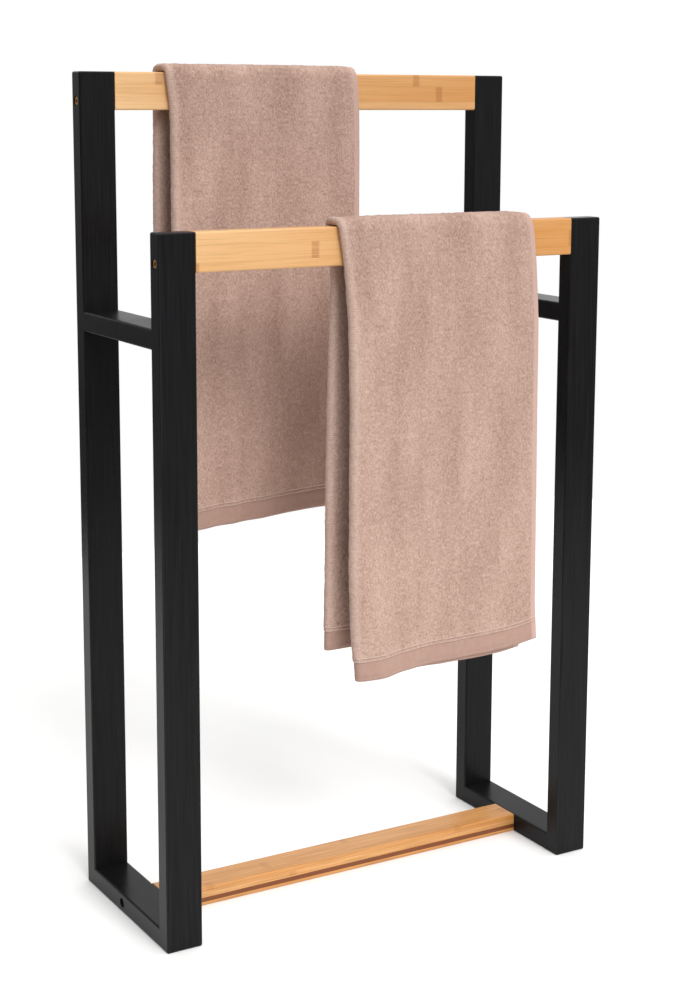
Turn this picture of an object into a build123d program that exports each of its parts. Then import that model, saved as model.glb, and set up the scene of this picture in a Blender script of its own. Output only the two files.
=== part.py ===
from build123d import *
import os

# Free-standing towel rack. Origin on the floor at the centre of the footprint,
# +X to the right, +Y to the rear, +Z up. All sizes in millimetres.

# overall sizes
rack_width = 510
rack_depth = 200
rear_height = 850
front_height = 702
stretcher_top = 612

# one stock for every post, rail and bar
stock_thick = 20
stock_wide = 38
edge_radius = 2

# wooden dowels
dowel_radius = 4
dowel_length = 30
dowel_chamfer = 0.8
dowel_hole_radius = 4.1
dowel_in_post = 11.5
dowel_hole_spare = 0.5
frame_dowel_offset = 10

# screws through the side frames into the bar ends
screw_from_edge = 9
bar_dowel_from_edge = 10
head_radius = 4.7
head_height = 4
socket_flats = 4
socket_depth = 2.5
shank_radius = 3
shank_length = 34
thread_radius = 2.75
thread_length = 27
tip_length = 4
tip_radius = 1
counterbore_radius = 5
shank_hole_radius = 3.1
pilot_radius = 2.85
pilot_spare = 2
bar_head_recess = 0.8
foot_head_recess = 3

# towels, each folded double along its length
towel_gap = 0.5
towel_thick = 8.5
towel_cap_depth = 14
towel_outer_radius = 9

# towel outlines in X and Z: left and right side at the bar and at each hem
front_towel_top = (-65, 160)
front_towel_front_hem = (-51, 173)
front_towel_front_hem_z = 242
front_towel_back_hem = (-64, 166)
front_towel_back_hem_z = 270
rear_towel_top = (-165, 60)
rear_towel_front_hem = (-163, 66)
rear_towel_front_hem_z = 374
rear_towel_back_hem = (-164, 62)
rear_towel_back_hem_z = 434

half_width = rack_width / 2
half_depth = rack_depth / 2
inner_half_width = half_width - stock_wide
inner_half_depth = half_depth - stock_thick
frame_mid_x = half_width - stock_wide / 2
bar_mid_y = half_depth - stock_thick / 2
stretcher_mid_z = stretcher_top - stock_thick / 2
dowel_hole_in_post = dowel_in_post + dowel_hole_spare
dowel_hole_in_rail = dowel_length - dowel_hole_in_post + 2 * dowel_hole_spare

along_x = Rot(0, 90, 0)
along_y = Rot(90, 0, 0)
from_floor = (Align.CENTER, Align.CENTER, Align.MIN)


def block(x_range, y_range, z_range):
    """Box between two limits on each axis."""
    sizes = [high - low for low, high in (x_range, y_range, z_range)]
    return Pos(x_range[0], y_range[0], z_range[0]) * Box(*sizes, align=Align.MIN)


def write(node, *solids):
    export_step(Compound(children=list(solids)), f"parts/{node}.step")


def side_frame(side):
    """One side frame in a single block, with all its outside edges eased."""
    x_range = sorted((side * inner_half_width, side * half_width))
    frame = block(x_range, (inner_half_depth, half_depth), (0, rear_height))
    frame += block(x_range, (-half_depth, -inner_half_depth), (0, front_height))
    frame += block(x_range, (-inner_half_depth, inner_half_depth), (0, stock_thick))
    stretcher_z = (stretcher_top - stock_thick, stretcher_top)
    frame += block(x_range, (-inner_half_depth, inner_half_depth), stretcher_z)
    post_ends = [
        edge
        for edge in frame.edges().filter_by(Axis.X)
        if edge.center().Z > front_height - 1 or abs(edge.center().Y) > half_depth - 1
    ]
    outline = frame.edges().filter_by(Axis.Y) + frame.edges().filter_by(Axis.Z)
    return fillet(outline + post_ends, edge_radius)


def frame_dowel_places(side):
    """Centre of each dowel on the joint planes between the posts and cross pieces."""
    return [
        (side * frame_mid_x + offset, end, z)
        for z in (stock_thick / 2, stretcher_mid_z)
        for end in (-1, 1)
        for offset in (-frame_dowel_offset, frame_dowel_offset)
    ]


def frame_dowel_holes(side):
    depth = dowel_hole_in_post + dowel_hole_in_rail
    middle = inner_half_depth + dowel_hole_in_post - depth / 2
    return [
        Pos(x, end * middle, z) * along_y * Cylinder(dowel_hole_radius, depth)
        for x, end, z in frame_dowel_places(side)
    ]


def dowel():
    """Plain wooden dowel along Z, centred, with chamfered ends."""
    pin = Cylinder(dowel_radius, dowel_length)
    return chamfer(pin.edges().filter_by(GeomType.CIRCLE), dowel_chamfer)


def frame_dowels(side):
    middle = inner_half_depth + dowel_in_post - dowel_length / 2
    return [
        Pos(x, end * middle, z) * along_y * dowel()
        for x, end, z in frame_dowel_places(side)
    ]


# each bar: limits in Y and Z, centres of its screw and dowel in Y and Z, and how deep
# the screw heads lie below the outside faces
bars = {
    "rear": {
        "y": (inner_half_depth, half_depth),
        "z": (rear_height - stock_wide, rear_height),
        "screw": (bar_mid_y, rear_height - stock_wide + screw_from_edge),
        "dowel": (bar_mid_y, rear_height - bar_dowel_from_edge),
        "recess": bar_head_recess,
    },
    "front": {
        "y": (-half_depth, -inner_half_depth),
        "z": (front_height - stock_wide, front_height),
        "screw": (-bar_mid_y, front_height - stock_wide + screw_from_edge),
        "dowel": (-bar_mid_y, front_height - bar_dowel_from_edge),
        "recess": bar_head_recess,
    },
    "foot": {
        "y": (-stock_wide / 2, stock_wide / 2),
        "z": (0, stock_thick),
        "screw": (stock_wide / 2 - screw_from_edge, stock_thick / 2),
        "dowel": (bar_dowel_from_edge - stock_wide / 2, stock_thick / 2),
        "recess": foot_head_recess,
    },
}


def from_outside(side, y, z, recess):
    """Place something built along +Z so that it points inward from a side face."""
    return Pos(side * (half_width - recess), y, z) * Rot(0, -90 * side, 0)


def screw_hole(bar, side):
    """Counterbore, clearance hole and pilot hole for one screw."""
    seat = bar["recess"] + head_height
    shank_end = seat + shank_length
    screw_end = shank_end + thread_length + tip_length
    hole = Cylinder(counterbore_radius, seat, align=from_floor)
    hole += Cylinder(shank_hole_radius, shank_end + pilot_spare, align=from_floor)
    hole += Cylinder(pilot_radius, screw_end + pilot_spare, align=from_floor)
    return from_outside(side, *bar["screw"], 0) * hole


def screw():
    """Hexagon socket screw along +Z with the outside of its head at zero."""
    head = Cylinder(head_radius, head_height, align=from_floor)
    head = chamfer(head.edges().group_by(Axis.Z)[0], 0.4)
    socket = extrude(RegularPolygon(socket_flats / 2, 6, major_radius=False), socket_depth)
    shank = Pos(0, 0, head_height) * Cylinder(shank_radius, shank_length, align=from_floor)
    thread_start = head_height + shank_length
    thread = Cylinder(thread_radius, thread_length, align=from_floor)
    tip = Cone(thread_radius, tip_radius, tip_length, align=from_floor)
    thread = Pos(0, 0, thread_start) * thread
    tip = Pos(0, 0, thread_start + thread_length) * tip
    return head - socket + shank + thread + tip


def screws(bar):
    return [
        from_outside(side, *bar["screw"], bar["recess"]) * screw() for side in (-1, 1)
    ]


def bar_dowel_hole(bar, side):
    depth = dowel_hole_in_post + dowel_hole_in_rail
    middle = inner_half_width + dowel_hole_in_post - depth / 2
    y, z = bar["dowel"]
    return Pos(side * middle, y, z) * along_x * Cylinder(dowel_hole_radius, depth)


def bar_dowels(bar):
    middle = inner_half_width + dowel_in_post - dowel_length / 2
    y, z = bar["dowel"]
    return [Pos(side * middle, y, z) * along_x * dowel() for side in (-1, 1)]


def bar_solid(bar):
    """Bamboo bar with eased long edges, drilled in both ends."""
    solid = block((-inner_half_width, inner_half_width), bar["y"], bar["z"])
    solid = fillet(solid.edges().filter_by(Axis.X), edge_radius)
    for side in (-1, 1):
        solid -= screw_hole(bar, side)
        solid -= bar_dowel_hole(bar, side)
    return solid


def drop(y_range, top, hem, top_z, hem_z):
    """Hanging part of a towel: an outline in X and Z with thickness in Y."""
    outline = Polyline((top[0], top_z), (top[1], top_z), (hem[1], hem_z), (hem[0], hem_z), close=True)
    sheet = Plane.XZ * make_face(outline)
    return Pos(0, y_range[1], 0) * extrude(sheet, y_range[1] - y_range[0])


def towel(bar, top, front_hem, front_hem_z, back_hem, back_hem_z):
    """Towel hung over a bar: a cap round the bar's top and one drop on each side."""
    bar_front, bar_rear = bar["y"]
    bar_top = bar["z"][1]
    mid_y = (bar_front + bar_rear) / 2
    inner_half = stock_thick / 2 + towel_gap
    outer_half = inner_half + towel_thick
    cap_z = bar_top - towel_cap_depth
    tall = towel_cap_depth + towel_gap
    outer = Pos(0, tall + towel_thick - outer_half) * RectangleRounded(
        2 * outer_half, 2 * outer_half, towel_outer_radius
    )
    inner = Pos(0, tall - inner_half) * RectangleRounded(
        2 * inner_half, 2 * inner_half, edge_radius + towel_gap
    )
    below = Pos(0, -rack_depth / 2) * Rectangle(rack_depth, rack_depth)
    arch = outer + Pos(0, (tall + towel_thick - outer_half) / 2) * Rectangle(
        2 * outer_half, tall + towel_thick - outer_half
    )
    hollow = inner + Pos(0, (tall - inner_half) / 2) * Rectangle(2 * inner_half, tall - inner_half)
    profile = arch - hollow - below
    section = Plane(origin=(top[0], mid_y, cap_z), x_dir=(0, 1, 0), z_dir=(1, 0, 0))
    solid = extrude(section * profile, top[1] - top[0])
    solid += drop((mid_y - outer_half, mid_y - inner_half), top, front_hem, cap_z, front_hem_z)
    solid += drop((mid_y + inner_half, mid_y + outer_half), top, back_hem, cap_z, back_hem_z)
    return solid


os.makedirs("parts", exist_ok=True)

for side, name in ((-1, "left"), (1, "right")):
    frame = side_frame(side)
    reach = (-rack_width, rack_width)
    pieces = {
        "rear_post": block(reach, (inner_half_depth, rack_depth), (0, rear_height)),
        "front_post": block(reach, (-rack_depth, -inner_half_depth), (0, rear_height)),
        "bottom_rail": block(reach, (-inner_half_depth, inner_half_depth), (0, stock_wide)),
        "stretcher": block(
            reach, (-inner_half_depth, inner_half_depth), (front_height / 2, front_height)
        ),
    }
    holes = frame_dowel_holes(side)
    for bar in bars.values():
        holes += [screw_hole(bar, side), bar_dowel_hole(bar, side)]
    for piece, region in pieces.items():
        solid = frame & region
        for hole in holes:
            solid -= hole
        write(f"{name}_{piece}", solid)
    write(f"{name}_frame_dowels", *frame_dowels(side))

for name, bar in bars.items():
    label = "foot_bar" if name == "foot" else f"{name}_towel_bar"
    write(label, bar_solid(bar))
    write(f"{name}_bar_screws", *screws(bar))
    write(f"{name}_bar_dowels", *bar_dowels(bar))

front_towel = towel(
    bars["front"],
    front_towel_top,
    front_towel_front_hem,
    front_towel_front_hem_z,
    front_towel_back_hem,
    front_towel_back_hem_z,
)
write("front_towel", front_towel)

rear_towel = towel(
    bars["rear"],
    rear_towel_top,
    rear_towel_front_hem,
    rear_towel_front_hem_z,
    rear_towel_back_hem,
    rear_towel_back_hem_z,
)
write("rear_towel", rear_towel)
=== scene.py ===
import math
from functools import partial

import bpy
import numpy as np
from mathutils import Matrix, Vector


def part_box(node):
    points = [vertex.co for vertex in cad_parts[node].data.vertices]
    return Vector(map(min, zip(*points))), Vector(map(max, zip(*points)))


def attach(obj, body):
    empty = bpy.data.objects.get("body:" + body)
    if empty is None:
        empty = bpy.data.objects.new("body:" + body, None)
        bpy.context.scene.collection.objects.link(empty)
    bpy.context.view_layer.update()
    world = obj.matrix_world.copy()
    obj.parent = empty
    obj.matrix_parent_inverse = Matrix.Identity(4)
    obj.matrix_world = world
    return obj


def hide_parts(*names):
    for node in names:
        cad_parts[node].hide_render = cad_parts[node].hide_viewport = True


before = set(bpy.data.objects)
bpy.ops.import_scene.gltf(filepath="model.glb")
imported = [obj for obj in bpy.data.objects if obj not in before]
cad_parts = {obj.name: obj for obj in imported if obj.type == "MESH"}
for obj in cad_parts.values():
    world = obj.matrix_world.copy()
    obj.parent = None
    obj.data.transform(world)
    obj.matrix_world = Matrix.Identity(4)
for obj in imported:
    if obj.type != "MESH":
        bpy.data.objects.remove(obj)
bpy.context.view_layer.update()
mm = 0.001


def linear(hexColour):
    # sRGB hex to the linear RGBA that the shaders take
    parts = [int(hexColour[i:i + 2], 16) / 255 for i in (1, 3, 5)]
    return [p / 12.92 if p <= 0.04045 else ((p + 0.055) / 1.055) ** 2.4 for p in parts] + [1.0]


def addNode(tree, kind, inputs=(), **settings):
    # one node with its settings; an input is a value, a socket, or a node's first live output
    node = tree.nodes.new(kind if "Node" in kind else "ShaderNode" + kind)
    for name, value in settings.items():
        setattr(node, name, value)
    live = [socket for socket in node.inputs if socket.enabled]
    for key, value in inputs.items() if isinstance(inputs, dict) else enumerate(inputs):
        socket = live[key] if isinstance(key, int) else next(s for s in live if s.name == key)
        if isinstance(value, bpy.types.Node):
            value = next(output for output in value.outputs if output.enabled)
        if isinstance(value, bpy.types.NodeSocket):
            tree.links.new(value, socket)
        else:
            socket.default_value = value
    return node


def newMaterial(name):
    material = bpy.data.materials.new(name)
    material.use_nodes = True
    material.node_tree.nodes.clear()
    return material, partial(addNode, material.node_tree)


# camera

cameraLook = {
    "place": (-0.958262, -1.622969, 0.821955),
    "turn": 30.4556,       # degrees to the right of straight ahead
    "tilt": 9.306,         # degrees down
    "roll": 0.164,
    "lens": 65.76,         # mm
    "shiftY": -0.1,
    "clip": (0.05, 200),   # m
}


def makeCamera(look):
    data = bpy.data.cameras.new("camera")
    camera = bpy.data.objects.new("camera", data)
    bpy.context.scene.collection.objects.link(camera)
    data.lens = look["lens"]
    data.shift_y = look["shiftY"]
    data.clip_start, data.clip_end = look["clip"]
    turn = Matrix.Rotation(-math.radians(look["turn"]), 4, "Z")
    tilt = Matrix.Rotation(math.radians(90 - look["tilt"]), 4, "X")
    roll = Matrix.Rotation(math.radians(look["roll"]), 4, "Z")
    camera.matrix_world = Matrix.Translation(look["place"]) @ turn @ tilt @ roll
    bpy.context.scene.camera = camera


makeCamera(cameraLook)

# plain white studio: light from all round, more of it from the right and above and little
# from below, one broad soft light from the front, and a white floor just round the rack

studioLook = {
    "floorSize": 2.8,
    "floorColour": "#fbfbfa",
    "surround": (0.16, 1.02),     # from the left and from the right
    "above": 0.58,                # added toward the top
    "below": 0.2,                 # what is left of it under the horizon
    "horizonBlend": 0.2,          # how far down it fades to that
    "seen": 1.0,                  # the backdrop, as the camera sees it
    "keyStrength": 1.95,
    "keySpread": 30,              # degrees
    "keyFrom": (-0.02, -0.95, 0.8),
}


def makeStudio(look):
    scene = bpy.context.scene
    scene.view_settings.view_transform = "Standard"
    world = bpy.data.worlds.new("studio")
    scene.world = world
    world.use_nodes = True
    world.node_tree.nodes.clear()
    add = partial(addNode, world.node_tree)
    white = linear("#ffffff")
    left, right = look["surround"]
    toRight, _, up = add("SeparateXYZ", [add("TexCoord").outputs["Generated"]]).outputs
    around = add("MapRange", {"Value": toRight, "From Min": -1.0, "To Min": left, "To Max": right})
    above = add("Math", [up, 0.0], operation="MAXIMUM")
    around = add("Math", [above, look["above"], around], operation="MULTIPLY_ADD")
    below = add("MapRange", [up, -look["horizonBlend"], 0.0, look["below"]])
    around = add("Math", [around, below], operation="MULTIPLY")
    lighting = add("Background", {"Color": white, "Strength": around})
    seen = add("Background", {"Color": white, "Strength": look["seen"]})
    path = add("LightPath")
    mix = add("MixShader", [path.outputs["Is Camera Ray"], lighting, seen])
    add("OutputWorld", {"Surface": mix})

    half = look["floorSize"] / 2
    mesh = bpy.data.meshes.new("floor")
    corners = [(-half, -half, 0), (half, -half, 0), (half, half, 0), (-half, half, 0)]
    mesh.from_pydata(corners, [], [(0, 1, 2, 3)])
    floor = bpy.data.objects.new("floor", mesh)
    scene.collection.objects.link(floor)
    material, add = newMaterial("mattWhiteStudioFloor")
    shader = add("BsdfPrincipled", {
        "Base Color": linear(look["floorColour"]), "Roughness": 0.9, "Specular IOR Level": 0.1,
    })
    add("OutputMaterial", {"Surface": shader})
    mesh.materials.append(material)

    data = bpy.data.lights.new("keyLight", "SUN")
    data.energy = look["keyStrength"]
    data.angle = math.radians(look["keySpread"])
    key = bpy.data.objects.new("keyLight", data)
    scene.collection.objects.link(key)
    key.rotation_euler = Vector(look["keyFrom"]).to_track_quat("Z", "Y").to_euler()


makeStudio(studioLook)
print("camera and studio done")


# black side frames

lacquerLook = {
    "dark": "#0f0f10",
    "light": "#1a1a1c",
    "worn": "#2b2b2d",
    "grainWidth": 1.4 * mm,
    "grainLength": 70 * mm,
    "grainRange": (0.35, 0.7),    # of the noise, from dark to light
    "grainDepth": 0.06 * mm,
    "grainBump": 0.5,
    "patchSize": 160 * mm,        # of the patches in the sheen and the wear
    "sheenRange": (0.3, 0.7),
    "wearRange": (0.35, 0.7),
    "easedFacing": (0.75, 0.97),  # how squarely an eased and a flat surface face an axis
    "roughness": (0.22, 0.36),
    "specular": 0.12,
}


def lacqueredWood(axis, look):
    # black lacquer sprayed on sanded wood: satin, with the grain just showing through it,
    # and thinner and greyer where the eased edges have been rubbed
    material, add = newMaterial("satinBlackLacquerOnWood" + axis)
    place = add("TexCoord")
    scales = [1 / look["grainWidth"]] * 3
    scales["XYZ".index(axis)] = 1 / look["grainLength"]
    grainPlace = add("VectorMath", [place.outputs["Object"], scales], operation="MULTIPLY")
    grain = add("TexNoise", {"Vector": grainPlace, "Scale": 1.0, "Detail": 3.0, "Roughness": 0.6})
    patches = add("TexNoise", {
        "Vector": place.outputs["Object"], "Scale": 1 / look["patchSize"], "Detail": 2.0,
    })
    shade = add("MapRange", [grain, *look["grainRange"]])
    colour = add("Mix", [shade, linear(look["dark"]), linear(look["light"])], data_type="RGBA")

    # an eased edge is where the surface faces along no single axis
    facing = add("VectorMath", [place.outputs["Normal"]], operation="ABSOLUTE")
    facing = add("SeparateXYZ", [facing])
    most = add("Math", [facing.outputs[0], facing.outputs[1]], operation="MAXIMUM")
    most = add("Math", [most, facing.outputs[2]], operation="MAXIMUM")
    eased = add("MapRange", [most, *look["easedFacing"], 1.0, 0.0])
    rub = add("MapRange", [patches, *look["wearRange"]])
    rubbed = add("Math", [eased, rub], operation="MULTIPLY")
    colour = add("Mix", [rubbed, colour, linear(look["worn"])], data_type="RGBA")
    roughness = add("MapRange", [patches, *look["sheenRange"], *look["roughness"]])
    bump = add("Bump", {
        "Height": grain, "Strength": look["grainBump"], "Distance": look["grainDepth"],
    })
    shader = add("BsdfPrincipled", {
        "Base Color": colour,
        "Roughness": roughness,
        "Specular IOR Level": look["specular"],
        "Normal": bump,
    })
    add("OutputMaterial", {"Surface": shader})
    return material


def finishNode(node, material):
    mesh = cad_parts[node].data
    mesh.materials.clear()
    mesh.materials.append(material)


uprightLacquer = lacqueredWood("Z", lacquerLook)
crossLacquer = lacqueredWood("Y", lacquerLook)
for side in ("left", "right"):
    for post in ("rear_post", "front_post"):
        finishNode(f"{side}_{post}", uprightLacquer)
    for cross in ("bottom_rail", "stretcher"):
        finishNode(f"{side}_{cross}", crossLacquer)
print("side frames done")


# bamboo bars

bambooLook = {
    "pale": "#e6bb88",
    "warm": "#c98740",
    "fibre": "#9c652f",
    "nodeMark": "#96571d",
    "darkBand": "#662c0d",
    "darkStrength": 0.9,
    "layers": 4,
    "layerThick": 5 * mm,
    "strips": 3,                  # across each layer
    "stripWide": 16.3 * mm,
    "stripEdge": 6.3 * mm,        # from the middle of the bar to the first glued joint
    "stripTone": 0.35,            # how much the strips differ
    "grainShift": 1.7,            # along, from each strip's noise to the next one's
    "cloudScale": (6.0, 60.0, 60.0),
    "cloudTone": 0.6,
    "fibreWidth": 0.8 * mm,
    "fibreLength": 60 * mm,
    "fibreDepth": 0.08 * mm,
    "fibreBump": 0.35,
    "nodeSpacing": 308 * mm,
    "nodeWidth": 9 * mm,
    "nodeBlur": (1.4 * mm, 0.6 * mm),      # inward and outward
    "nodeBroken": (0.25, 0.6, 0.45),       # range of the fibres, and what is left at its start
    "layerShift": 97 * mm,                 # of the nodes, from each layer to the next
    "seamWidth": 0.4 * mm,
    "seamStrength": 0.2,
    "sheenRange": (0.3, 0.7),
    "roughness": (0.34, 0.48),
    "specular": 0.4,
}


def laminatedBamboo(name, bar, look):
    # clear lacquered bamboo strips glued in four layers: straight fibres, a darker mark
    # where each strip had a node, and a faint line at every glued joint
    material, add = newMaterial(name)
    low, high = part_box(bar["node"])
    centre = [(a + b) / 2 for a, b in zip(low, high)]
    place = add("TexCoord")
    local = add("VectorMath", [place.outputs["Object"], centre], operation="SUBTRACT")
    axes = add("SeparateXYZ", [local]).outputs
    along, wide, thin = axes[0], axes["XYZ".index(bar["wide"])], axes["XYZ".index(bar["thin"])]

    # which layer and which strip in it, as one number, and a chance value for its tone. The
    # middle strip is 0 and the ones below it are negative
    layers = look["layers"]
    layer = add("Math", [thin, 1 / look["layerThick"], layers / 2], operation="MULTIPLY_ADD")
    layer = add("Math", [layer, 0.0], operation="MAXIMUM")
    layer = add("Math", [layer, layers - 0.01], operation="MINIMUM")
    layer = add("Math", [layer], operation="FLOOR")
    fromJoint = add("Math", [wide, look["stripEdge"]], operation="SUBTRACT")
    strip = add("Math", [fromJoint, look["stripWide"]], operation="DIVIDE")
    strip = add("Math", [strip], operation="FLOOR")
    number = add("Math", [layer, look["strips"], strip], operation="MULTIPLY_ADD")
    number = add("Math", [number, bar["seed"]], operation="ADD")
    tone = add("TexWhiteNoise", {"W": number}, noise_dimensions="1D").outputs["Value"]

    shifted = add("Math", [number, look["grainShift"], along], operation="MULTIPLY_ADD")
    grainPlace = add("CombineXYZ", [shifted, wide, thin])
    scales = (1 / look["fibreLength"], 1 / look["fibreWidth"], 1 / look["fibreWidth"])
    fibrePlace = add("VectorMath", [grainPlace, scales], operation="MULTIPLY")
    fibres = add("TexNoise", {"Vector": fibrePlace, "Scale": 1.0, "Detail": 3.0, "Roughness": 0.6})
    cloudPlace = add("VectorMath", [grainPlace, look["cloudScale"]], operation="MULTIPLY")
    clouds = add("TexNoise", {"Vector": cloudPlace, "Scale": 1.0, "Detail": 2.0})

    drift = add("Math", [along, bar["drift"], bar["base"]], operation="MULTIPLY_ADD")
    warmth = add("Math", [tone, look["stripTone"], drift], operation="MULTIPLY_ADD")
    warmth = add(
        "Math", [clouds, look["cloudTone"], warmth], operation="MULTIPLY_ADD", use_clamp=True
    )
    colour = add("Mix", [warmth, linear(look["pale"]), linear(look["warm"])], data_type="RGBA")
    streaks = add("MapRange", [fibres, *bar["streakRange"], 0.0, bar["streaks"]])
    colour = add("Mix", [streaks, colour, linear(look["fibre"])], data_type="RGBA")

    # the cane's nodes, at a different place in each strip and each layer
    nodeAt = bar["nodes"][0]
    for below, nodePlace in enumerate(bar["nodes"][1:], 1):
        chosen = add("Math", [strip, -below, 0.1], operation="COMPARE")
        nodeAt = add("Mix", [chosen, nodeAt, nodePlace])
    start = add("Math", [along, nodeAt], operation="SUBTRACT")
    start = add("Math", [layer, look["layerShift"], start], operation="MULTIPLY_ADD")
    toNode = add("Math", [start, look["nodeSpacing"] / 2], operation="PINGPONG")
    halfNode, (inward, outward) = look["nodeWidth"] / 2, look["nodeBlur"]
    mark = add(
        "MapRange", [toNode, halfNode - inward, halfNode + outward, bar["mark"], 0.0],
        interpolation_type="SMOOTHSTEP",
    )
    broken = add("MapRange", [fibres, *look["nodeBroken"]])
    mark = add("Math", [mark, broken], operation="MULTIPLY")
    colour = add("Mix", [mark, colour, linear(look["nodeMark"])], data_type="RGBA")

    # glued joints, and a dark band along the bar's faces
    toSeam = add("Math", [fromJoint, look["stripWide"] / 2], operation="PINGPONG")
    seamWidth = look["seamWidth"]
    seam = add("MapRange", [toSeam, seamWidth / 2, seamWidth, look["seamStrength"], 0.0])
    colour = add("Mix", [seam, colour, linear(look["fibre"])], data_type="RGBA")
    if bar["darkBand"]:
        dark = add("Math", [thin, *bar["darkBand"]], operation="COMPARE")
        dark = add("Math", [dark, look["darkStrength"]], operation="MULTIPLY")
        colour = add("Mix", [dark, colour, linear(look["darkBand"])], data_type="RGBA")
    roughness = add("MapRange", [fibres, *look["sheenRange"], *look["roughness"]])
    bump = add("Bump", {
        "Height": fibres, "Strength": look["fibreBump"], "Distance": look["fibreDepth"],
    })
    shader = add("BsdfPrincipled", {
        "Base Color": colour,
        "Roughness": roughness,
        "Specular IOR Level": look["specular"],
        "Normal": bump,
    })
    add("OutputMaterial", {"Surface": shader})
    return material


# for each bar: the axes across it, how warm its middle is and how that grows along X, where
# the node lies in each strip from the top or the rear, how dark the nodes' marks and the
# fibres' streaks are, and the dark band's middle and half width
bars = [
    {
        "node": "rear_towel_bar",
        "wide": "Z", "thin": "Y", "seed": 3.0, "base": -0.08, "drift": 1.4,
        "nodes": (0.139, 0.169, -0.03), "mark": 0.45,
        "streakRange": (0.5, 0.8), "streaks": 0.5, "darkBand": None,
    },
    {
        "node": "front_towel_bar",
        "wide": "Z", "thin": "Y", "seed": 41.0, "base": 0.2, "drift": 1.5,
        "nodes": (0.05, -0.09, 0.09), "mark": 0.45,
        "streakRange": (0.5, 0.8), "streaks": 0.5, "darkBand": None,
    },
    {
        "node": "foot_bar",
        "wide": "Y", "thin": "Z", "seed": 87.0, "base": 0.22, "drift": 0.3,
        "nodes": (-0.007, -0.112, 0.123), "mark": 0.25,
        "streakRange": (0.38, 0.8), "streaks": 0.95, "darkBand": (-3.4 * mm, 2.4 * mm),
    },
]
for bar in bars:
    finishNode(bar["node"], laminatedBamboo("lacqueredBamboo_" + bar["node"], bar, bambooLook))
print("bamboo bars done")


# screws and dowels

zincLook = {
    "pale": "#e3b878",
    "deep": "#c9965a",
    "cloudSize": 2.4 * mm,
    "cloudRange": (0.35, 0.65),
    "roughness": (0.28, 0.5),
}

beechLook = {
    "pale": "#dcb98c",
    "fleck": "#b98c60",
    "fleckSize": 1.1 * mm,
    "fleckRange": (0.4, 0.7),
    "fleckDepth": 0.1 * mm,
    "fleckBump": 0.3,
    "roughness": 0.75,
}


def zincPlatedSteel(look):
    # yellow passivated zinc on pressed steel: warm metal with faint cloudy colour
    material, add = newMaterial("yellowZincPlatedSteel")
    place = add("TexCoord")
    cloud = add("TexNoise", {
        "Vector": place.outputs["Object"], "Scale": 1 / look["cloudSize"], "Detail": 2.0,
    })
    shade = add("MapRange", [cloud, *look["cloudRange"]])
    colour = add("Mix", [shade, linear(look["pale"]), linear(look["deep"])], data_type="RGBA")
    roughness = add("MapRange", [cloud, 0.0, 1.0, *look["roughness"]])
    shader = add("BsdfPrincipled", {"Base Color": colour, "Metallic": 1.0, "Roughness": roughness})
    add("OutputMaterial", {"Surface": shader})
    return material


def turnedBeech(look):
    # bare beech pins: pale pinkish wood with short dark flecks
    material, add = newMaterial("bareTurnedBeech")
    place = add("TexCoord")
    flecks = add("TexNoise", {
        "Vector": place.outputs["Object"], "Scale": 1 / look["fleckSize"], "Detail": 3.0,
    })
    shade = add("MapRange", [flecks, *look["fleckRange"]])
    colour = add("Mix", [shade, linear(look["pale"]), linear(look["fleck"])], data_type="RGBA")
    bump = add("Bump", {
        "Height": flecks, "Strength": look["fleckBump"], "Distance": look["fleckDepth"],
    })
    shader = add("BsdfPrincipled", {
        "Base Color": colour, "Roughness": look["roughness"], "Normal": bump,
    })
    add("OutputMaterial", {"Surface": shader})
    return material


zincSteel = zincPlatedSteel(zincLook)
beech = turnedBeech(beechLook)
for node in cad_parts:
    if node.endswith("_screws"):
        finishNode(node, zincSteel)
    if node.endswith("_dowels"):
        finishNode(node, beech)
print("screws and dowels done")


# towels

clothSize = {
    "width": 0.454,               # m, laid flat
    "length": 0.918,
    "border": 19.5 * mm,          # flat woven band at each end
    "cordGap": 3.6 * mm,          # between the two cords above it
    "cordUp": 0.8 * mm,           # from the line at its foot to a cord's middle
    "cordHalf": 0.8 * mm,         # half the width of a cord, and of the groove below it
    "cordHeight": 0.9 * mm,
    "grooveDown": 1.7 * mm,       # from a cord's middle to its groove's
    "grooveDepth": 0.6 * mm,
    "hemSeam": 5 * mm,            # stitched line above each end
    "edging": 6.5 * mm,           # flat woven strip along each side
    "pileThick": 3.8 * mm,
    "flatThick": 2.3 * mm,
    "pileEdge": 1.6 * mm,         # the pile's slope down to the flat weave
    "rimShare": 0.35,             # of the thickness on each side at the cloth's rim
    "lumps": 0.2 * mm,            # in the pile, and what the flat weave has less of them
    "flatCalm": 0.8,
    "foldEarly": 3 * mm,          # how far before the outer layer's width the fold starts
    "foldLength": 8 * mm,         # cloth used up by going round it
    "foldFine": 18 * mm,          # finer mesh on each side of it
    "edgingRows": 1 * mm,         # from the edging's line to the rows on both sides of it
    "borderRows": 2 * mm,         # from the border and the cords to the end of the fine rows
    "rowStep": 3.6 * mm,
    "foldStep": 2 * mm,
    "fineStep": 0.8 * mm,
    "stitchLift": 0.15 * mm,
}

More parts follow.
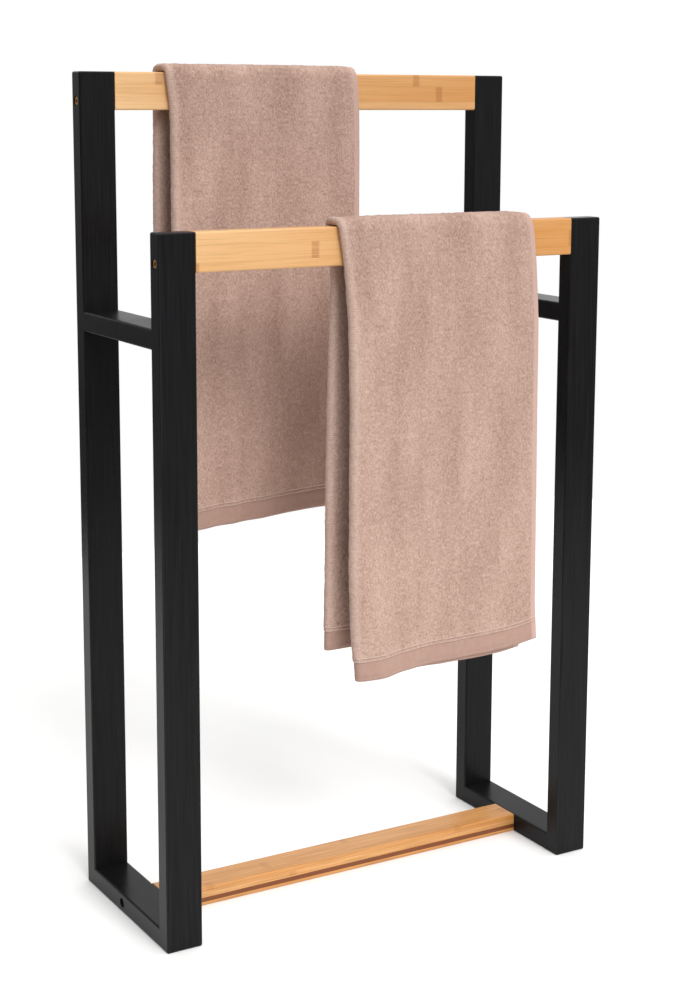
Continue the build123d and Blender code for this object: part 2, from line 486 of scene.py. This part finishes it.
clothLook = {
    "tip": "#cdafa1",
    # painted shade between the loops
    "shadeBetweenLoops": "#937567",
    # the opened pile at the fold, painted lighter as if light fell on it
    "openPileLit": "#d1b5a8",
    "flat": "#b39487",
    "flatLow": "#9d7e71",
    "cord": "#d0b4a7",
    # painted shadow in the grooves below the cords
    "groove": "#876959",
    "edging": "#c4a398",
    "loop": 2.0 * mm,             # real loops are about 1 mm and wouldn't show
    "twill": 2.4 * mm,            # real twill lines are about 1 mm and wouldn't show
    "rib": 2.2 * mm,              # rows of loops at the fold; real ones are about 1.5 mm apart
    "ribShade": (0.15, 0.4),      # its swing and its middle
    "loopStretch": 0.72,
    "tuftScale": (0.4, 0.25),     # against the loops, across and along
    "patches": (26.0, 7.0, 1.0),  # to the metre across and along
    "loopPart": 1.6,
    "tuftPart": 0.5,
    "patchPart": 0.8,
    "pileRange": (0.77, 1.67),
    "weaveTufts": (0.8, 0.1),
    "weaveLines": 0.25,
    "weaveBump": 0.3,
    "openedAndLit": (2 * mm, 9 * mm),   # from the fold, where the pile is opened and painted lighter as if lit
    "borderBlur": 0.6 * mm,
    "edgingBlur": (1.5 * mm, 0.5 * mm),    # inward and outward
    "cordBlur": (0.2 * mm, 0.8 * mm),
    "grooveShade": 0.3,
    "edgingShade": 0.8,
    "bump": 0.65,
    "bumpDepth": 0.9 * mm,
}

# how the cloth hangs; a pair is where it starts, from the middle of the bar's top, and how
# far on it is complete
drapeShape = {
    "barRadius": 2 * mm,
    "barGap": 0.6 * mm,
    "layerGap": 0.15 * mm,        # half the gap between the layers
    "foldGap": 1.3 * mm,          # more at the fold where the cloth hangs free
    "foldReach": 11 * mm,
    "hangs": (0.02, 0.1),
    "wavesGrow": (0.05, 0.42),
    "wavesMost": 1.2,
    "riseGrows": (0.03, 0.42),
    "twistReach": 0.03,
    "wander": 4 * mm,             # how far each wave sways sideways near the bar
    "wanderTurn": 9,
    "ripples": 7,
    "rippleHeight": 0.35 * mm,
    "rippleAcross": (12, 45),
    "rippleAlong": (6, 22),
    "rippleLeast": 0.3,           # of their height over the bar
    "topSwell": 0.3,              # of the waves' height over the bar
}

# Each drop is given by its side edges, as (distance from the middle of the bar's top, X), by
# how far its hem rises from the fold on, as (from the fold, rise), and by its waves, as (from
# the fold, width, height at the hem, how late it grows). All are in mm.
towels = {
    "front_towel": {
        "bar": "front_towel_bar",
        "outerWidth": 0.229,
        "frontDrop": 0.4718,
        "innerTurn": 1.7,             # degrees between the two layers
        "seed": 5,
        "front": {
            "left": [(0, -66), (15, -65), (48, -59), (110, -54), (195, -52), (360, -54),
                     (425, -52), (466, -48)],
            "right": [(0, 156), (9, 158), (20, 164), (55, 168), (126, 171.6), (214, 172),
                      (390, 173.5), (430, 173.5), (472, 176.5)],
            "rise": [(0, 0), (60, 1.5), (200, 6.5), (229, 11)],
            "waves": [(26, 25, 12, 2.2), (95, 40, -2, 1), (165, 35, 3, 1), (66, 12, 1.8, 0.4),
                      (122, 11, 1.5, 0.4)],
        },
        "back": {
            "left": [(0, -66), (40, -58), (77, -56), (136, -58), (216, -60.3), (290, -61.5),
                     (450, -64)],
            "right": [(0, 153), (20, 160), (60, 165), (450, 167)],
            "rise": [(0, 0), (229, 5)],
            "waves": [(24, 20, -3, 1), (120, 60, 3, 1)],
        },
    },
    "rear_towel": {
        "bar": "rear_towel_bar",
        "outerWidth": 0.224,
        "frontDrop": 0.4937,
        "innerTurn": 0.6,
        "seed": 11,
        "front": {
            "left": [(0, -164), (20, -162), (50, -157.6), (480, -158)],
            "right": [(0, 56), (20, 60), (50, 62), (150, 62.4), (480, 63)],
            "rise": [(0, 0), (28, 2.5), (135, 10), (224, 11)],
            "waves": [(30, 30, 3, 1), (120, 45, 4, 1), (185, 30, -4, 1), (46, 8, -1.6, 0.3),
                      (66, 8, 2.2, 0.3), (97, 11, 1.8, 0.3)],
        },
        "back": {
            "left": [(0, -163), (60, -162.5), (180, -163.3), (430, -164)],
            "right": [(0, 56), (60, 60), (430, 61)],
            "rise": [(0, 0), (224, 4)],
            "waves": [(40, 30, 3, 1), (150, 50, -3, 1)],
        },
    },
}


def terryCotton(size, look):
    # looped cotton terry: matt and mottled by painted shade between its loops, opened into fine
    # ribs at the fold and painted lighter there as light falling on the fold, with flat twill
    # borders, cord lines above them with painted shadow in a groove below each, and smooth edging
    material, add = newMaterial("loopedCottonTerry")
    cloth = add("UVMap", uv_map="cloth")
    axes = add("SeparateXYZ", [cloth]).outputs
    across, length = axes[0], axes[1]
    fromEnd = add("Math", [size["length"], length], operation="SUBTRACT")
    toEnd = add("Math", [length, fromEnd], operation="MINIMUM")
    fromSide = add("Math", [size["width"], across], operation="SUBTRACT")
    toSide = add("Math", [across, fromSide], operation="MINIMUM")
    toFold = add("UVMap", uv_map="fold")
    toFold = add("SeparateXYZ", [toFold]).outputs[0]

    # loops, their tufts, and broad patches where the pile lies another way
    cell = 1 / look["loop"]
    loopScale = (cell, cell * look["loopStretch"], 1.0)
    loopPlace = add("VectorMath", [cloth, loopScale], operation="MULTIPLY")
    loops = add("TexNoise", {"Vector": loopPlace, "Scale": 1.0, "Detail": 2.5, "Roughness": 0.72})
    tuftScale = [cell * share for share in look["tuftScale"]] + [1.0]
    tuftPlace = add("VectorMath", [cloth, tuftScale], operation="MULTIPLY")
    tufts = add("TexNoise", {"Vector": tuftPlace, "Scale": 1.0, "Detail": 2.0, "Roughness": 0.5})
    patchPlace = add("VectorMath", [cloth, look["patches"]], operation="MULTIPLY")
    patches = add("TexNoise", {"Vector": patchPlace, "Scale": 1.0, "Detail": 3.0})
    tuftPart = look["tuftPart"]
    pile = add("Math", [tufts, tuftPart, -tuftPart / 2], operation="MULTIPLY_ADD")
    pile = add("Math", [loops, look["loopPart"], pile], operation="MULTIPLY_ADD")
    pile = add("Math", [patches, look["patchPart"], pile], operation="MULTIPLY_ADD")
    pile = add("MapRange", [pile, *look["pileRange"]])
    # painted shade: the pile's colour darkens between the loops, where they shade each other
    pileColour = add("Mix", [pile, linear(look["shadeBetweenLoops"]), linear(look["tip"])], data_type="RGBA")
    ribs = add("Math", [length, 2 * math.pi / look["rib"]], operation="MULTIPLY")
    ribs = add("Math", [ribs], operation="SINE")
    ribs = add("Math", [ribs, *look["ribShade"]], operation="MULTIPLY_ADD")
    # the pile opened into ribs at the fold, and painted lighter there as a painted highlight on
    # the fold
    openedAndLit = add(
        "MapRange", [toFold, *look["openedAndLit"], 1.0, 0.0], interpolation_type="SMOOTHSTEP"
    )
    openedAndLit = add("Math", [openedAndLit, ribs], operation="MULTIPLY")
    pileColour = add("Mix", [openedAndLit, pileColour, linear(look["openPileLit"])], data_type="RGBA")

    diagonal = add("Math", [across, length], operation="ADD")
    diagonal = add("Math", [diagonal, 2 * math.pi / look["twill"]], operation="MULTIPLY")
    diagonal = add("Math", [diagonal], operation="SINE")
    weave = add("Math", [tufts, *look["weaveTufts"]], operation="MULTIPLY_ADD")
    weave = add("Math", [diagonal, look["weaveLines"], weave], operation="MULTIPLY_ADD")
    flatColour = add(
        "Mix", [weave, linear(look["flatLow"]), linear(look["flat"])], data_type="RGBA"
    )

    border, edging = size["border"], size["edging"]
    inBorder = add("MapRange", [toEnd, border, border + look["borderBlur"], 1.0, 0.0])
    inward, outward = look["edgingBlur"]
    inEdging = add(
        "MapRange", [toSide, edging - inward, edging + outward, look["edgingShade"], 0.0]
    )
    colour = add("Mix", [inBorder, pileColour, flatColour], data_type="RGBA")
    colour = add("Mix", [inEdging, colour, linear(look["edging"])], data_type="RGBA")
    # two pale cords with a shallow groove below each, its shadow painted darker
    cords, grooves = 0.0, 0.0
    for line in (border, border + size["cordGap"]):
        above = add("Math", [toEnd, line], operation="SUBTRACT")
        ridge = add("Math", [above, size["cordUp"]], operation="SUBTRACT")
        near, onRidge = [
            add("MapRange", [
                add("Math", [away], operation="ABSOLUTE"), *look["cordBlur"], 1.0, 0.0,
            ])
            for away in (above, ridge)
        ]
        grooves = add("Math", [grooves, near], operation="MAXIMUM")
        cords = add("Math", [cords, onRidge], operation="MAXIMUM")
    grooveShadow = add("Math", [grooves, look["grooveShade"]], operation="MULTIPLY")
    colour = add("Mix", [grooveShadow, colour, linear(look["groove"])], data_type="RGBA")
    colour = add("Mix", [cords, colour, linear(look["cord"])], data_type="RGBA")

    flatHeight = add("Math", [weave, look["weaveBump"]], operation="MULTIPLY")
    smooth = add("Math", [inBorder, inEdging], operation="MAXIMUM")
    height = add("Mix", [smooth, pile, flatHeight])
    height = add("Math", [height, grooves], operation="SUBTRACT")
    bump = add("Bump", {
        "Height": height, "Strength": look["bump"], "Distance": look["bumpDepth"],
    })
    shader = add("BsdfPrincipled", {
        "Base Color": colour,
        "Roughness": 0.95,
        "Specular IOR Level": 0.1,
        "Sheen Weight": 0.2,
        "Sheen Roughness": 0.5,
        "Sheen Tint": linear("#f0dcd2"),
        "Normal": bump,
    })
    add("OutputMaterial", {"Surface": shader})
    return material


threadLook = {
    "low": "#a4867a",
    "high": "#c2a398",
    "twistSize": 0.9 * mm,
    "twistDepth": 0.1 * mm,
    "twistBump": 0.3,
    "roughness": 0.85,
    "specular": 0.2,
}


def sewingThread(look):
    # twisted cotton thread, close to the cloth in colour
    material, add = newMaterial("cottonSewingThread")
    place = add("TexCoord")
    twist = add("TexNoise", {
        "Vector": place.outputs["Object"], "Scale": 1 / look["twistSize"], "Detail": 1.0,
    })
    colour = add("Mix", [twist, linear(look["low"]), linear(look["high"])], data_type="RGBA")
    bump = add("Bump", {
        "Height": twist, "Strength": look["twistBump"], "Distance": look["twistDepth"],
    })
    shader = add("BsdfPrincipled", {
        "Base Color": colour,
        "Roughness": look["roughness"],
        "Specular IOR Level": look["specular"],
        "Normal": bump,
    })
    add("OutputMaterial", {"Surface": shader})
    return material


def steps(start, *stretches):
    # points along a line; each stretch has its end and the most its steps may be
    points = [start]
    for end, step in stretches:
        count = math.ceil((end - points[-1]) / step)
        points += np.linspace(points[-1], end, count + 1)[1:].tolist()
    return np.array(points)


def smoothStep(value):
    value = np.clip(value, 0, 1)
    return value * value * (3 - 2 * value)


def easedLine(places, at, reach=16):
    # a line through a few places in mm, with its corners eased over so many mm on each side
    distances, values = np.array(places).T * mm
    grid = np.arange(-0.05, 0.65, 0.001)
    line = np.pad(np.interp(grid, distances, values), reach, "edge")
    window = np.hanning(2 * reach + 1)
    eased = np.convolve(line, window / window.sum(), "valid")
    return np.interp(at, grid, eased)


def overBar(s, height, arcHeight, halfBar, top, radius):
    # a path at a height above the bar: s runs from the middle of its top, to the front where
    # positive. Gives how far forward, how high, and the outward direction
    flat = halfBar - radius
    reach = np.abs(s)
    arc = (radius + arcHeight) * math.pi / 2
    turn = np.clip((reach - flat) / arc, 0, 1) * math.pi / 2
    forward = np.minimum(reach, flat) + (radius + height) * np.sin(turn)
    up = top - radius + (radius + height) * np.cos(turn) - np.maximum(reach - flat - arc, 0)
    side = np.where(s < 0, -1, 1)
    return side * forward, up, side * np.sin(turn), np.cos(turn)


def layOut(size, look):
    # the cloth's grid: across from the outer layer's open side, round the fold, to the inner
    # layer's open side; and along from the front hem to the back one, finer at the borders
    edging, border, seam = size["edging"], size["border"], size["hemSeam"]
    foldStart = look["outerWidth"] - size["foldEarly"]
    foldEnd = foldStart + size["foldLength"]
    row, near, fine = size["rowStep"], size["foldStep"], size["fineStep"]
    width, length, foldFine = size["width"], size["length"], size["foldFine"]
    beside, beyond = size["edgingRows"], size["borderRows"]
    across = steps(
        0.0, (edging - beside, row), (edging + beside, row), (foldStart - foldFine, row),
        (foldStart, near), (foldEnd, near / 2), (foldEnd + foldFine, near),
        (width - edging - beside, row), (width - edging + beside, row), (width, row),
    )
    cordEnd = border + size["cordGap"] + beyond
    along = steps(
        0.0, (seam, row), (border - beyond, row), (cordEnd, fine), (length - cordEnd, row),
        (length - border + beyond, fine), (length - seam, row), (length, row),
    )
    return along, np.meshgrid(across, along, indexing="ij"), foldStart


def middleSurface(size, shape, look, uu, vv, foldStart):
    # where the middle of the cloth lies, and how far each point is from the fold
    low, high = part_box(look["bar"])
    random = np.random.default_rng(look["seed"])
    along = look["frontDrop"] - vv
    reach = np.abs(along)
    hanging, waving, rising = [
        (reach - shape[name][0]) / shape[name][1] for name in ("hangs", "wavesGrow", "riseGrows")
    ]
    hanging = smoothStep(hanging)
    hem = np.clip(waving, 0, shape["wavesMost"])
    inner = shape["barGap"] + size["pileThick"] / 2
    apart = size["pileThick"] / 2 + shape["layerGap"]
    loose = apart + shape["foldGap"] * hanging
    turn = np.clip((uu - foldStart) / size["foldLength"], 0, 1) * math.pi
    flatPart = np.maximum(foldStart - uu, np.maximum(uu - foldStart - size["foldLength"], 0))
    fromFold = flatPart + loose * (1 - np.sin(turn))
    spread = apart + (loose - apart) * np.exp(-((flatPart / shape["foldReach"]) ** 2))
    height = inner + apart + spread * np.cos(turn) + (spread - apart) * hanging
    isInner = smoothStep((uu - foldStart) / size["foldLength"])
    twist = math.tan(math.radians(look["innerTurn"])) * isInner

    x, s, swell = np.zeros_like(uu), along + twist * fromFold, np.zeros_like(uu)
    for name, chosen in (("front", along > 0), ("back", along <= 0)):
        drop = look[name]
        left, right = easedLine(drop["left"], reach), easedLine(drop["right"], reach)
        x += chosen * (left + (right - left) * fromFold / look["outerWidth"])
        rise = easedLine(drop["rise"], fromFold) * smoothStep(rising)
        s -= np.where(chosen, np.sign(along) * rise, 0)
        for place, width, tall, late in drop["waves"]:
            phase = random.uniform(0, 6)
            wander = shape["wander"] * np.sin(along * shape["wanderTurn"] + phase)
            away = (fromFold - place * mm + wander * (1 - hem)) / (width * mm)
            swell += chosen * tall * mm * np.exp(-(away ** 2)) * hem ** late
    x -= along * twist * smoothStep(fromFold / shape["twistReach"])
    halfBar = (high.y - low.y) / 2
    y, z, outY, outZ = overBar(s, height, inner + apart, halfBar, high.z, shape["barRadius"])
    for _ in range(shape["ripples"]):
        waveX = random.uniform(*shape["rippleAcross"])
        waveS = random.uniform(*shape["rippleAlong"])
        phaseX, phaseS = random.uniform(0, 6, 2)
        ripple = shape["rippleHeight"] * np.sin(x * waveX + phaseX) * np.sin(s * waveS + phaseS)
        swell += ripple * (shape["rippleLeast"] + hem)
    middle = (low.y + high.y) / 2
    points = np.stack([x, middle - (y + swell * outY), z + swell * outZ * shape["topSwell"]], -1)
    return points, fromFold, random


def newObject(name, mesh):
    made = bpy.data.objects.new(name, mesh)
    bpy.context.scene.collection.objects.link(made)
    return made


def clothMesh(name, size, shape, look):
    along, (uu, vv), foldStart = layOut(size, look)
    points, fromFold, random = middleSurface(size, shape, look, uu, vv, foldStart)
    normal = np.cross(np.gradient(points, axis=1), np.gradient(points, axis=0))
    normal /= np.linalg.norm(normal, axis=-1, keepdims=True)

    toEnd = np.minimum(vv, size["length"] - vv)
    toSide = np.minimum(uu, size["width"] - uu)
    fromBorder = toEnd - size["border"]
    intoPile = np.minimum(fromBorder, toSide - size["edging"])
    flat = 1 - smoothStep(intoPile / size["pileEdge"])
    thick = size["pileThick"] + (size["flatThick"] - size["pileThick"]) * flat
    for cord in (size["cordUp"], size["cordUp"] + size["cordGap"]):
        ridge = (fromBorder - cord) / size["cordHalf"]
        groove = (fromBorder - cord + size["grooveDown"]) / size["cordHalf"]
        thick += size["cordHeight"] * np.exp(-(ridge ** 2))
        thick -= size["grooveDepth"] * np.exp(-(groove ** 2))
    calm = 1 - size["flatCalm"] * flat
    lumps = random.normal(0, size["lumps"], (2,) + uu.shape) * calm
    onRim = np.minimum(toEnd, toSide) < 0.001 * mm
    half = np.where(onRim, size["rimShare"], 0.5) * thick
    outside = points + normal * (half + lumps[0])[..., None]
    inside = points - normal * (half + lumps[1])[..., None]

    total = uu.size
    index = np.arange(total).reshape(uu.shape)
    quads = np.stack([index[:-1, :-1], index[:-1, 1:], index[1:, 1:], index[1:, :-1]], -1)
    quads = quads.reshape(-1, 4)
    ring = np.concatenate([index[:-1, 0], index[-1, :-1], index[:0:-1, -1], index[0, :0:-1]])
    after = np.roll(ring, -1)
    rim = np.stack([ring, after, after + total, ring + total], -1)
    faces = np.concatenate([quads, quads[:, ::-1] + total, rim])
    corners = np.concatenate([outside, inside]).reshape(-1, 3)
    mesh = bpy.data.meshes.new(name)
    mesh.from_pydata(corners.tolist(), [], faces.tolist())
    mesh.update()
    loopCorners = np.zeros(len(mesh.loops), np.int64)
    mesh.loops.foreach_get("vertex_index", loopCorners)
    loopCorners %= total
    for layerName, first, second in (("cloth", uu, vv), ("fold", fromFold, vv)):
        layer = mesh.uv_layers.new(name=layerName)
        values = np.stack([first.ravel(), second.ravel()], -1)
        layer.data.foreach_set("uv", values[loopCorners].ravel())
    mesh.polygons.foreach_set("use_smooth", np.ones(len(mesh.polygons), bool))
    seams = []
    for place in (size["hemSeam"], size["length"] - size["hemSeam"]):
        row = np.abs(along - place).argmin()
        seams.append(outside[2:-2, row] + normal[2:-2, row] * size["stitchLift"])
    return newObject(name + "_cloth", mesh), seams


stitchLook = {
    "pitch": 3.4 * mm,
    "stitchLength": 2.5 * mm,
    "threadThick": 0.55 * mm,
}


def stitchTree(material):
    # stitches spaced along every line of the mesh that comes in
    tree = bpy.data.node_groups.new("stitchesAlongLines", "GeometryNodeTree")
    sockets = tree.interface
    sockets.new_socket("Lines", in_out="INPUT", socket_type="NodeSocketGeometry")
    for name in ("pitch", "stitchLength", "threadThick"):
        sockets.new_socket(name, in_out="INPUT", socket_type="NodeSocketFloat")
    sockets.new_socket("Stitches", in_out="OUTPUT", socket_type="NodeSocketGeometry")
    add = partial(addNode, tree)
    given = add("NodeGroupInput").outputs
    curve = add("GeometryNodeMeshToCurve", {"Mesh": given["Lines"]})
    spaced = add("GeometryNodeResampleCurve", {"Curve": curve}, mode="LENGTH")
    tree.links.new(given["pitch"], spaced.inputs["Length"])
    bead = add("GeometryNodeMeshUVSphere", {"Segments": 6, "Rings": 4, "Radius": 0.5})
    length, thick = given["stitchLength"], given["threadThick"]
    size = add("CombineXYZ", [length, thick, thick])
    bead = add("GeometryNodeTransform", {"Geometry": bead.outputs["Mesh"], "Scale": size})
    along = add("GeometryNodeInputTangent")
    turned = add("FunctionNodeAlignRotationToVector", {"Vector": along}, axis="X")
    placed = add("GeometryNodeInstanceOnPoints", {
        "Points": spaced, "Instance": bead, "Rotation": turned,
    })
    real = add("GeometryNodeRealizeInstances", {"Geometry": placed})
    smooth = add("GeometryNodeSetShadeSmooth", {"Geometry": real})
    painted = add("GeometryNodeSetMaterial", {"Geometry": smooth, "Material": material})
    add("NodeGroupOutput", {"Stitches": painted})
    return tree


def hemStitches(name, seams, tree, look):
    points, edges = [], []
    for seam in seams:
        edges += [(len(points) + i, len(points) + i + 1) for i in range(len(seam) - 1)]
        points += seam.tolist()
    lines = bpy.data.meshes.new(name + "_seams")
    lines.from_pydata(points, edges, [])
    carrier = newObject(name + "_seams", lines)
    modifier = carrier.modifiers.new("stitches", "NODES")
    modifier.node_group = tree
    for item in tree.interface.items_tree:
        if item.in_out == "INPUT" and item.name in look:
            modifier[item.identifier] = look[item.name]
    depsgraph = bpy.context.evaluated_depsgraph_get()
    mesh = bpy.data.meshes.new_from_object(carrier.evaluated_get(depsgraph))
    bpy.data.objects.remove(carrier)
    return newObject(name + "_hem_stitches", mesh)


terry = terryCotton(clothSize, clothLook)
stitchNodes = stitchTree(sewingThread(threadLook))
for name, look in towels.items():
    cloth, seams = clothMesh(name, clothSize, drapeShape, look)
    cloth.data.materials.append(terry)
    stitches = hemStitches(name, seams, stitchNodes, stitchLook)
    for piece in (cloth, stitches):
        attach(piece, name)
    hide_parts(name)
    counts = [len(piece.data.polygons) for piece in (cloth, stitches)]
    print(name, "done, with faces of cloth and stitches:", *counts)
